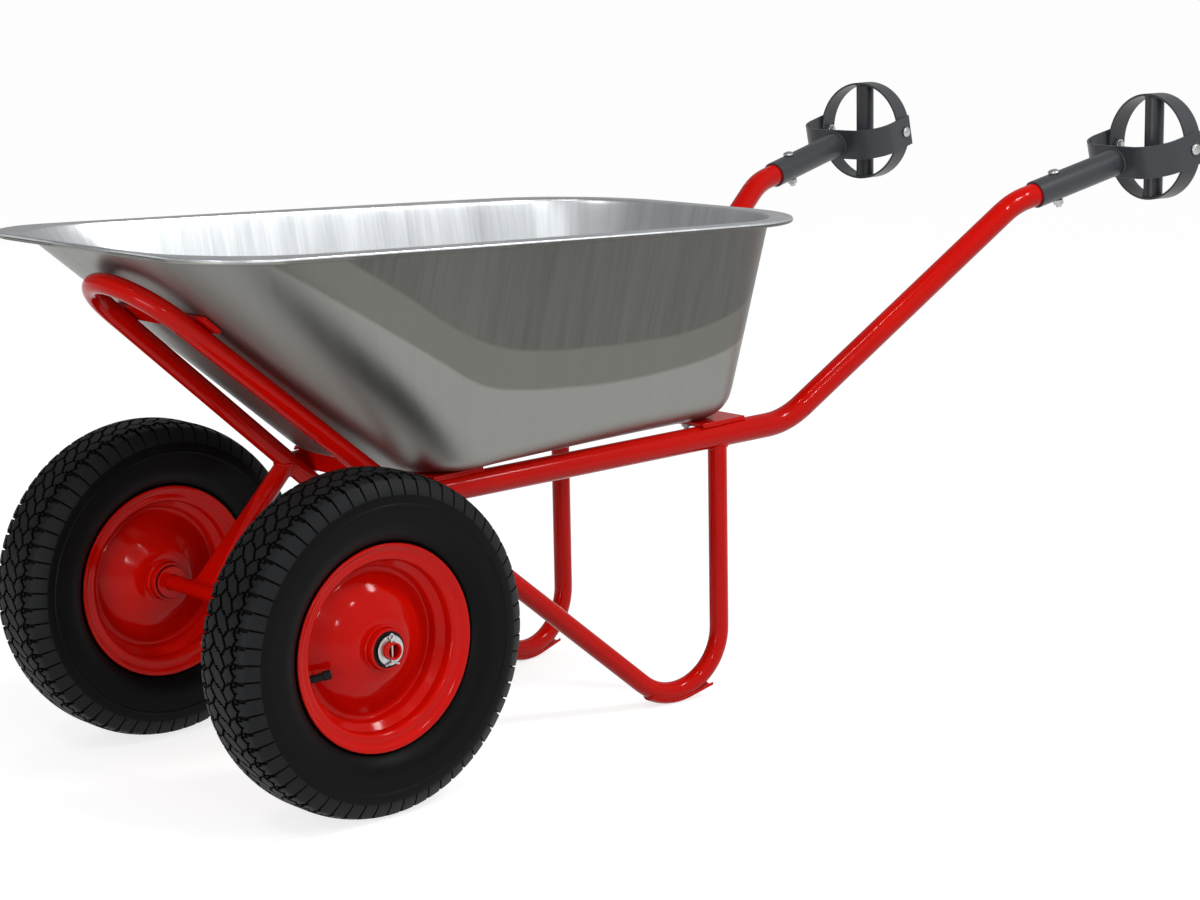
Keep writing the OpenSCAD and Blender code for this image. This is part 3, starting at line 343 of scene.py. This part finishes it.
# %% Bright metals
def bright_metal(name, dark, light, roughness, grain_mm):
    # Pale metal with small clouds of brighter and duller plating
    material, tree = blank_material(name)
    place = add(tree, "ShaderNodeTexCoord").outputs["Object"]
    cloud = add(tree, "ShaderNodeTexNoise", {"Vector": place, "Scale": 1 / (grain_mm * MM), "Detail": 4})
    colour = add(tree, "ShaderNodeMix", {"Factor": cloud.outputs[0], 6: linear(dark), 7: linear(light)},
                 data_type="RGBA")
    rough = add(tree, "ShaderNodeMapRange", {"Value": cloud.outputs[0], "To Min": roughness - 0.06,
                                             "To Max": roughness + 0.06})
    shader = add(tree, "ShaderNodeBsdfPrincipled", {"Base Color": colour.outputs[2], "Metallic": 1.0,
                 "Roughness": rough.outputs[0]})
    add(tree, "ShaderNodeOutputMaterial", {"Surface": shader.outputs[0]})
    return material


FINISH["zinc_plate"] = bright_metal("zinc_plate_on_steel", "9A9C9C", "D0D2D2", 0.32, 6)
FINISH["bearing_steel"] = bright_metal("ground_bearing_steel", "A8ABAD", "C8CACB", 0.2, 4)
print("all finishes:", ", ".join(FINISH))

# %% [markdown]
# Every new piece ends in the same way: a mesh at the origin, smooth between its sharp edges, with a
# finish, on the body that carries it, and standing for the solids that it dresses. The record of the part
# says which body carries a solid and what it is made of.

# %% Turn a bmesh into a finished piece
slot_of = {row["node"]: row["material_slot"] for row in frame["record"]["subparts"]}
body_of = {node: body for body, nodes in frame["record"]["behaviour"]["bodies"].items() for node in nodes}


def make_piece(bm, name, body, slot, stands_for=(), sharp=35, modifiers=()):
    mesh = bpy.data.meshes.new(name)
    bm.to_mesh(mesh)
    bm.free()
    mesh.shade_smooth()
    mesh.set_sharp_from_angle(angle=radians(sharp))
    piece = bpy.data.objects.new(name, mesh)
    bpy.context.scene.collection.objects.link(piece)
    mesh.materials.append(FINISH[slot])
    for kind, settings in modifiers:
        modifier = piece.modifiers.new(kind.lower(), kind)
        for key, value in settings.items():
            setattr(modifier, key, value)
    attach(piece, body)
    if stands_for:
        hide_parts(*stands_for)
    return piece


print("bodies:", ", ".join(sorted(set(body_of.values()))))

# %% [markdown]
# The tub is one sheet, drawn in a press. Its outline changes from a small rounded floor to a wide rim. Each
# outline starts as four corners, and bevels round them. The sides are cut into the same number of steps
# each time, so that the points of all outlines belong together. Sizes are millimetres from the axle.

# %% One rounded outline
CORNER_STEPS, SIDE_CUTS = 10, 7


def outline(front, rear, half_front, half_rear, radii, bow, height):
    """Rounded outline on a sloping plane, starting in the middle of the front."""
    bm = bmesh.new()
    corners = [bm.verts.new(p) for p in ((front, -half_front, 0), (front, half_front, 0),
                                         (rear, half_rear, 0), (rear, -half_rear, 0))]
    bm.faces.new(corners)
    lean = (half_front - half_rear) / (front - rear)
    for pair, radius, opening in ((corners[:2], radii[0], atan2(1, -lean)),
                                  (corners[2:], radii[1], atan2(1, lean))):
        bmesh.ops.bevel(bm, geom=pair, offset=radius / tan(opening / 2), segments=CORNER_STEPS, profile=0.5,
                        affect="VERTICES", material=-1)
    sides = sorted(bm.edges, key=lambda e: -e.calc_length())[:4]
    bmesh.ops.subdivide_edges(bm, edges=sides, cuts=SIDE_CUTS)
    points = [v.co.copy() for v in bm.faces[:][0].verts]
    bm.free()
    start = max(range(len(points)), key=lambda i: points[i].x - abs(points[i].y))
    points = points[start:] + points[:start]
    if points[1].y < 0:
        points = points[:1] + points[:0:-1]
    for p in points:
        along = (p.x - rear - radii[1]) / (front - rear - sum(radii))
        if 0 < along < 1:
            p.y += (1 if p.y > 0 else -1) * bow * 4 * along * (1 - along)
        p.z = height(p.x)
    return points


print("steps round a corner:", CORNER_STEPS)

# %% Outlines of the tub's floor, wall and lip
FLOOR_LEVEL, FLOOR_FALL, FLOOR_LEVEL_AT = 367.093, 0.02444, -600
RIM_LEVEL, RIM_RISE = 649, tan(radians(1.8))
FLOOR_FRONT, FLOOR_REAR, FLOOR_HALF_FRONT, FLOOR_HALF_REAR = -148.518, -652, 175, 168
WALL_FRONT, LIP_REAR, LIP_HALF_FRONT, LIP_HALF_REAR = 203.562, -757, 275, 257
LIP_SIDE, LIP_FRONT, INSET, RIM_BOW = 25, 4, 63, 5
INNER_RADII, FLOOR_RADII, WALL_RADII, LIP_RADII = (42, 18), (105, 45), (165, 148), (115, 165)


def floor_height(x):
    return FLOOR_LEVEL - FLOOR_FALL * (x - FLOOR_LEVEL_AT)


def rim_height(x):
    return RIM_LEVEL + RIM_RISE * x


floor_inner = outline(FLOOR_FRONT - INSET, FLOOR_REAR + INSET, FLOOR_HALF_FRONT - INSET,
                      FLOOR_HALF_REAR - INSET, INNER_RADII, 0, floor_height)
floor_edge = outline(FLOOR_FRONT, FLOOR_REAR, FLOOR_HALF_FRONT, FLOOR_HALF_REAR, FLOOR_RADII, 0, floor_height)
wall_top = outline(WALL_FRONT, LIP_REAR + LIP_SIDE, LIP_HALF_FRONT - LIP_SIDE, LIP_HALF_REAR - LIP_SIDE,
                   WALL_RADII, RIM_BOW, rim_height)
lip_edge = outline(WALL_FRONT + LIP_FRONT, LIP_REAR, LIP_HALF_FRONT, LIP_HALF_REAR,
                   LIP_RADII, RIM_BOW, rim_height)
print("tub outlines of", [len(o) for o in (floor_inner, floor_edge, wall_top, lip_edge)], "points")

# %% [markdown]
# A rib is a line over the sheet from the floor, round the bend, up the wall, out into the lip and under into
# the rolled edge. One rib stands at each point of the outlines. The points of the same place on all ribs are
# a ring, and the skin is extruded from ring to ring, as the sheet would be drawn.

# %% One rib of the tub
FLOOR_BEND, LIP_BEND, WALL_ROWS = 45, 6, 9
CURL_RADIUS, CURL_ANGLES = 3.5, [radians(27 * k) for k in range(11)]


def bend(a, corner, b, radius, steps):
    """Points of an arc that rounds the corner between a and b."""
    to_a, to_b = (a - corner).normalized(), (b - corner).normalized()
    half_turn = (pi - to_a.angle(to_b)) / 2
    centre = corner + (to_a + to_b).normalized() * radius / cos(half_turn)
    first = corner + to_a * radius * tan(half_turn) - centre
    axis = first.cross(corner + to_b * radius * tan(half_turn) - centre).normalized()
    return [centre + Quaternion(axis, 2 * half_turn * k / steps) @ first for k in range(steps + 1)]


def tub_rib(i):
    wall_bend = bend(floor_inner[i], floor_edge[i], wall_top[i], FLOOR_BEND, 6)
    lip_bend = bend(floor_edge[i], wall_top[i], lip_edge[i], LIP_BEND, 3)
    wall = [wall_bend[-1].lerp(lip_bend[0], k / WALL_ROWS) for k in range(1, WALL_ROWS)]
    out = (lip_edge[i] - wall_top[i]).normalized()
    curl = [lip_edge[i] + CURL_RADIUS * (sin(q) * out + Vector((0, 0, cos(q) - 1))) for q in CURL_ANGLES]
    return [floor_inner[i]] + wall_bend + wall + lip_bend + curl


ribs = [tub_rib(i) for i in range(len(floor_edge))]
rings = [[p * MM + Vector((AXLE.x, 0, 0)) for p in ring] for ring in zip(*ribs)]
print("tub rings:", len(rings), "of", len(ribs), "points")

# %% Skin extruded from ring to ring
bm = bmesh.new()
column, row = bm.verts.layers.int.new("column"), bm.verts.layers.int.new("row")
first_ring = [bm.verts.new(p) for p in rings[0]]
for i, v in enumerate(first_ring):
    v[column], v[row] = i, 0
bm.faces.new(first_ring)
edges = list(bm.edges)
for k, ring in enumerate(rings[1:], 1):
    made = bmesh.ops.extrude_edge_only(bm, edges=edges)["geom"]
    ring_verts = {g for g in made if isinstance(g, bmesh.types.BMVert)}
    for v in ring_verts:
        v.co, v[row] = ring[v[column]], k
    edges = [g for g in made if isinstance(g, bmesh.types.BMEdge) and set(g.verts) <= ring_verts]
bmesh.ops.recalc_face_normals(bm, faces=bm.faces[:])
if min(bm.faces, key=lambda f: f.calc_center_median().z).normal.z < 0:
    bmesh.ops.reverse_faces(bm, faces=bm.faces[:])
print("tub faces:", len(bm.faces))

# %% [markdown]
# The streaks need a map in metres: round the wall and up it. Ribs lean along the rim, so the way round is
# counted square to the rim and the streaks run straight up. Then the sheet is smoothed and given its
# thickness. Its outside, and the rolled edge that turns back under the lip, show the darker drawn zinc,
# whose grey is painted shade: the dim surround mirrored by the outside, and the shade under the lip.

# %% Map of the streaks, and the finished tub
TUB_SHEET, ROLLED_ROWS_PAINTED_SHADE, SMOOTH_LEVELS = 1.2 * MM, 8, 1

count = len(ribs)
along_rim = [(wall_top[(i + 1) % count] - wall_top[i - 1]).normalized() for i in range(count)]
steps_round = [(wall_top[i] - wall_top[i - 1]).length * MM for i in range(1, count)]
round_wall = [sum(steps_round[:i]) for i in range(count)] + [sum(steps_round) + steps_round[0]]
up_wall = [sum((rings[j][0] - rings[j - 1][0]).length for j in range(1, k + 1)) for k in range(len(rings))]
uv = bm.loops.layers.uv.new("streak_map")
for face in bm.faces:
    closes_ring = {v[column] for v in face.verts} >= {0, count - 1} and len(face.verts) == 4
    for loop in face.loops:
        i, k = loop.vert[column], loop.vert[row]
        lean = (ribs[i][k] - wall_top[i]).dot(along_rim[i]) * MM
        loop[uv].uv = (round_wall[count if closes_ring and i == 0 else i] + lean, up_wall[k])
    # The rolled edge under the lip takes the darker zinc: painted shade under the lip.
    if min(v[row] for v in face.verts) >= len(rings) - ROLLED_ROWS_PAINTED_SHADE:
        face.material_index = 1
smoothing = ("SUBSURF", {"levels": SMOOTH_LEVELS, "render_levels": SMOOTH_LEVELS})
thickness = ("SOLIDIFY", {"thickness": TUB_SHEET, "offset": -1, "material_offset": 1})
tub = make_piece(bm, "tub_sheet", "frame", "galvanised_sheet", ["tub"], sharp=80,
                 modifiers=[smoothing, thickness])
tub.data.materials.append(drawn_outside_painted_shade)
print("round the rim", round(round_wall[-1], 3), "m, up the front", round(up_wall[-1], 3), "m")

# %% [markdown]
# A tyre is a body of revolution with a moulded tread. Its section is drawn as radius and width in
# millimetres, one half mirrored to the other, and spun round the axle in fine steps.

# %% Section of the tyre, and the spin for all round pieces
TYRE_RADIUS, CROWN_FLAT, CROWN_FALL, CROWN_STEP = 200, 13, 0.0072, 1.75
CROWN_WIDTHS = [CROWN_STEP * k for k in range(22)]
CROWN = [(TYRE_RADIUS - max(w - CROWN_FLAT, 0) ** 2 * CROWN_FALL, w) for w in CROWN_WIDTHS]
SHOULDER = [(195, 39.2), (193, 41.3), (189, 43.8), (184.9, 46.5), (180.1, 48.9), (177, 49.9)]
SIDE = [(171, 50.9), (167.5, 51), (166.5, 51.8), (165, 51.8), (164, 51), (147, 51), (139.2, 49.6),
        (132.3, 46), (127.4, 41.8), (124.2, 38.4), (122.5, 35.6), (121.4, 32.2), (119.2, 30.8)]
BEAD = [(106.1, 30.8), (103, 29.5), (101.7, 26.4), (101.7, 20.2)]
CAVITY = [(111.4, 20.2), (126, 26), (136, 40), (146, 46), (172, 46), (183, 38), (187.5, 22), (188, 0)]


def spun(bm, section, centre, side, steps, closed):
    """Points of radius and width, spun once round the axle. Width grows away from the wheel's middle."""
    verts = [bm.verts.new(centre + Vector((0, side * w, r)) * MM) for r, w in section]
    pairs = list(zip(verts, verts[1:])) + ([(verts[-1], verts[0])] if closed else [])
    lines = [bm.edges.new(pair) for pair in pairs]
    bmesh.ops.spin(bm, geom=verts + lines, cent=centre, axis=(0, 1, 0), angle=2 * pi, steps=steps,
                   use_merge=True)
    bmesh.ops.remove_doubles(bm, verts=bm.verts[:], dist=1e-6)
    bmesh.ops.recalc_face_normals(bm, faces=bm.faces[:])


def wheel_centre(side):
    lo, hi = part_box(side + "_tyre")
    return (lo + hi) / 2


half = CROWN + SHOULDER + SIDE + BEAD + CAVITY
tyre_section = half + [(r, -w) for r, w in half[-2:0:-1]]
print("tyre section of", len(tyre_section), "points")

# %% [markdown]
# The tread repeats in pitches round the tyre. Three rows of blocks lie on the crown, parted by zigzag grooves
# and slanted cross grooves. Outside them each pitch has a slot that starts with a hook and runs down the
# shoulder, and a small notch half way to the next slot. Cutting grooves with other solids would be slow, so
# the faces of the spun skin that lie on grooves are inset and sunk.

# %% Places of the grooves
PITCHES, STEPS = 62, 8
INNER_GROOVE, INNER_SWING, OUTER_GROOVE, OUTER_SWING, HALF_GROOVE = 11.4, 3.5, 27, 3, 2
BLOCK_SLANT, JOG_START, JOG_END, NOTCH_END, HOOK_START, HOOK_END = 6, 19, 21.5, 33, 29.5, 42


def in_groove(step, width):
    """Whether a face lies on a groove, by its step in the pitch and its place across the tread."""
    if width < 0:
        step, width = (STEPS - 1 - step), -width
    zigzag = 1 - abs((step + 2) % STEPS - 4) / 2
    inner_edge, outer_edge = INNER_GROOVE - INNER_SWING * zigzag, OUTER_GROOVE + OUTER_SWING * zigzag
    if abs(width - inner_edge) < HALF_GROOVE or abs(width - outer_edge) < HALF_GROOVE:
        return True
    if width < inner_edge:
        slant = width / BLOCK_SLANT
        return step in (int(slant), int(slant + 0.3)) or (width < CROWN_STEP and step == STEPS - 1)
    if width < outer_edge:
        return (step == 6 and width < JOG_END) or (step == 5 and width > JOG_START)
    if width < NOTCH_END:
        return step == 6 or (width > HOOK_START and step in (4, 5)) or step == 1
    return step == 4 or (width < HOOK_END and step == 5)


print("tread of", PITCHES, "pitches,", round(2 * pi * TYRE_RADIUS / PITCHES, 1), "mm each")

# %% Spin the tyres and sink their grooves
GROOVE_DEPTH, GROOVE_WALL, SECTION_MIDDLE = 4 * MM, 0.35 * MM, 150 * MM
FADE_START, FADE_END, FADE_RISE = 38 * MM, 50 * MM, 0.95 * GROOVE_DEPTH
TREAD_EDGE = SHOULDER[-1][0]


def make_tyre(side, name):
    centre = wheel_centre(side)
    bm = bmesh.new()
    spun(bm, tyre_section, centre, 1, PITCHES * STEPS, closed=True)
    grooves = []
    for face in bm.faces:
        at = face.calc_center_median() - centre
        radius, out = hypot(at.x, at.z) / MM, Vector((at.x, 0, at.z)).normalized()
        faces_out = face.normal.dot(at - out * SECTION_MIDDLE) > 0
        if radius > TREAD_EDGE and faces_out:
            step = int((atan2(at.x, at.z) / (2 * pi) % 1) * PITCHES * STEPS) % STEPS
            if in_groove(step, at.y / MM):
                grooves.append(face)
                # groove faces take the darker rubber: painted shade in the grooves
                face.material_index = 1
        elif radius < TREAD_EDGE:
            # faces below the tread take the darker rubber: painted shade on the side walls
            face.material_index = 2
    bmesh.ops.inset_region(bm, faces=grooves, thickness=GROOVE_WALL, depth=-GROOVE_DEPTH,
                           use_even_offset=True)
    for vert in {v for face in grooves for v in face.verts}:  # the slots run out on the shoulder
        fade = (abs(vert.co.y - centre.y) - FADE_START) / (FADE_END - FADE_START)
        normals = [f.normal for f in vert.link_faces if f.material_index == 1]
        vert.co += sum(normals, Vector()).normalized() * FADE_RISE * min(max(fade, 0), 1)
    tyre = make_piece(bm, name + "_treaded", side + "_wheel", "tyre_rubber", [name], sharp=28)
    tyre.data.materials.append(groove_rubber_painted_shade)
    tyre.data.materials.append(side_rubber_painted_shade)
    return tyre


for side in ("left", "right"):
    tyre = make_tyre(side, side + "_tyre")
    print(tyre.name, "faces:", len(tyre.data.polygons))

# %% [markdown]
# Each rim is two pressings, back to back. A pressing runs from the collar on the hub over a dome, down
# into the valley where the halves meet, and out over the bead seat to the edge. One rounded section is
# spun for each half and then given the sheet's thickness on the side that shows.

# %% Pressed rim halves
RIM_PATH = ((24.2, 35.8), (24.2, 29), (36, 29), (60, 16.5), (82, 0.1), (90, 0.1), (92, 11.2), (101.5, 18.24),
            (101.5, 31), (112.5, 31.2), (121, 38))
RIM_BENDS = (2, 26, 60, 12, 4, 4, 3, 4.5, 13)
BEND_STEPS, RIM_STEPS, RIM_SHEET, DOME_RADIUS = 7, 120, 2 * MM, 60 * MM

path = [Vector((r, w, 0)) for r, w in RIM_PATH]
rim_section = [path[0]]
for k, radius in enumerate(RIM_BENDS, 1):
    rim_section += bend(path[k - 1], path[k], path[k + 1], radius, BEND_STEPS)
rim_section = [(p.x, p.y) for p in rim_section + [path[-1]]]


def make_rim_half(side, half_name, shows):
    centre = wheel_centre(side)
    bm = bmesh.new()
    spun(bm, rim_section, centre, shows, RIM_STEPS, closed=False)
    dome = min(bm.faces, key=lambda f: abs((f.calc_center_median() - centre).xz.length - DOME_RADIUS))
    if dome.normal.y * shows < 0:
        bmesh.ops.reverse_faces(bm, faces=bm.faces[:])
    return make_piece(bm, half_name + "_pressing", side + "_wheel", "red_paint", [half_name], sharp=60,
                      modifiers=[("SOLIDIFY", {"thickness": RIM_SHEET, "offset": 1})])


for side, out in (("left", 1), ("right", -1)):
    make_rim_half(side, side + "_outer_rim_half", out)
    make_rim_half(side, side + "_inner_rim_half", -out)
print("rim section of", len(rim_section), "points")

# %% [markdown]
# Tubes, straps, bars and bolts already have the right shape as solids. On the real barrow no edge is
# razor sharp, so each gets a copy whose triangles are merged, whose flat facets are joined, and whose
# edges are rounded a little. Pieces that are hidden in the hubs keep the solids' own mesh.

# %% Rounded copies of tubes, straps and fasteners
MERGE_DISTANCE, SAME_FACET, SHARP_EDGE = 0.01 * MM, radians(0.3), radians(40)
for node, solid in frame["nodes"].items():
    solid.data.materials.clear()
    solid.data.materials.append(FINISH[slot_of[node]])


def merged_solid(node):
    bm = bmesh.new()
    bm.from_mesh(frame["nodes"][node].data)
    bmesh.ops.remove_doubles(bm, verts=bm.verts[:], dist=MERGE_DISTANCE)
    return bm


def rounded_copy(node, round_mm):
    bm = merged_solid(node)
    bmesh.ops.dissolve_limit(bm, angle_limit=SAME_FACET, verts=bm.verts[:], edges=bm.edges[:])
    rounding = ("BEVEL", {"width": round_mm * MM, "segments": 2, "limit_method": "ANGLE",
                          "angle_limit": SHARP_EDGE})
    return make_piece(bm, node + "_rounded", body_of[node], slot_of[node], [node], modifiers=[rounding])


ROUNDINGS = {"leg_loop": 0.3, "nose_strip": 1.0, "front_crossbar": 1.0, "rear_crossbar": 1.0, "axle": 0.8,
             "axle_collars": 0.6, "axle_washers": 0.4, "tub_bolts": 0.5, "tub_washers": 0.4, "tub_nuts": 0.5,
             "sleeve_bolts": 0.5, "sleeve_nuts": 0.5}
PAIRED = {"rail": 0.3, "strut": 0.5, "skid": 0.8, "hub": 0.6, "valve": 0.6, "sleeve": 0.6, "yoke": 0.8,
          "hoop": 0.8, "grip_tube": 0.4, "pivot_bolts": 0.5, "pivot_nuts": 0.5}
for kind, round_mm in PAIRED.items():
    ROUNDINGS["left_" + kind] = ROUNDINGS["right_" + kind] = round_mm
for node, round_mm in ROUNDINGS.items():
    rounded_copy(node, round_mm)
print("rounded copies:", len(ROUNDINGS))

# %% [markdown]
# The frame and the grips are welded. A weld is a row of small frozen ripples along the joint, painted over
# with the rest. The joint lines are the solids' own sharp edges that lie against the next piece. Such a chain
# of edges becomes a curve, the curve gets a round section that swells and shrinks, and becomes a mesh again.

# %% A weld bead along a joint
RIPPLE, RIPPLE_STEPS, RIPPLE_MIDDLE, RIPPLE_SWELL = 4.5 * MM, 3, 0.88, 0.12


def joint_edges(node, other, near_mm):
    """The sharp edges of one solid that lie against another, cut into short steps."""
    bm, next_piece = merged_solid(node), merged_solid(other)
    surface = BVHTree.FromBMesh(next_piece)
    next_piece.free()
    spare = [e for e in bm.edges if e.calc_face_angle(0) < SHARP_EDGE
             or any(surface.find_nearest(v.co)[3] > near_mm * MM for v in e.verts)]
    bmesh.ops.delete(bm, geom=spare, context="EDGES")
    bmesh.ops.delete(bm, geom=[v for v in bm.verts if not v.link_edges], context="VERTS")
    for edge in bm.edges[:]:
        bmesh.ops.subdivide_edges(bm, edges=[edge], cuts=int(edge.calc_length() / (RIPPLE / RIPPLE_STEPS)))
    return bm


def add_bead(beads, node, other, width_mm, near_mm, keep):
    """Bead along the longest chains of joint edges, added to a bmesh of beads."""
    holder = bpy.data.objects.new("bead", bpy.data.meshes.new("bead"))
    bpy.context.scene.collection.objects.link(holder)
    bm = joint_edges(node, other, near_mm)
    bm.to_mesh(holder.data)
    bm.free()
    bpy.ops.object.select_all(action="DESELECT")
    holder.select_set(True)
    bpy.context.view_layer.objects.active = holder
    bpy.ops.object.convert(target="CURVE")
    for short in sorted(holder.data.splines, key=lambda s: -s.calc_length())[keep:]:
        holder.data.splines.remove(short)
    for spline in holder.data.splines:
        for k, point in enumerate(spline.points):
            point.radius = RIPPLE_MIDDLE + RIPPLE_SWELL * cos(2 * pi * k / RIPPLE_STEPS)
    holder.data.bevel_depth, holder.data.bevel_resolution = width_mm / 2 * MM, 2
    holder.data.use_fill_caps = True
    bpy.ops.object.convert(target="MESH")
    beads.from_mesh(holder.data)
    bpy.data.objects.remove(holder)


print("ripples of", RIPPLE / MM, "mm")

# %% All welds of the frame and the handles
# A weld is a piece, the next piece, the bead's width, the reach to the joint and the chains to keep
WELDS = {"frame": [], "handles": [], "left_grip": [], "right_grip": []}
for side in ("left_", "right_"):
    WELDS["frame"] += [("leg_loop", side + "rail", 4.5, 0.5, 1), (side + "strut", "leg_loop", 4.5, 0.5, 1),
                       (side + "strut", "axle", 4, 0.5, 2), ("front_crossbar", side + "rail", 4, 4, 1),
                       ("rear_crossbar", side + "rail", 4, 4, 1), (side + "skid", "leg_loop", 3, 0.5, 2)]
    WELDS["handles"] += [(side + "sleeve", side + "yoke", 5, 0.5, 1)]
    WELDS[side + "grip"] += [(side + "grip_tube", side + "hoop", 3.5, 0.5, 2)]
for group, joints in WELDS.items():
    beads = bmesh.new()
    for joint in joints:
        add_bead(beads, *joint)
    print("weld beads of", group, "faces:", len(beads.faces))
    make_piece(beads, "weld_beads_" + group, body_of[joints[0][0]], slot_of[joints[0][0]])
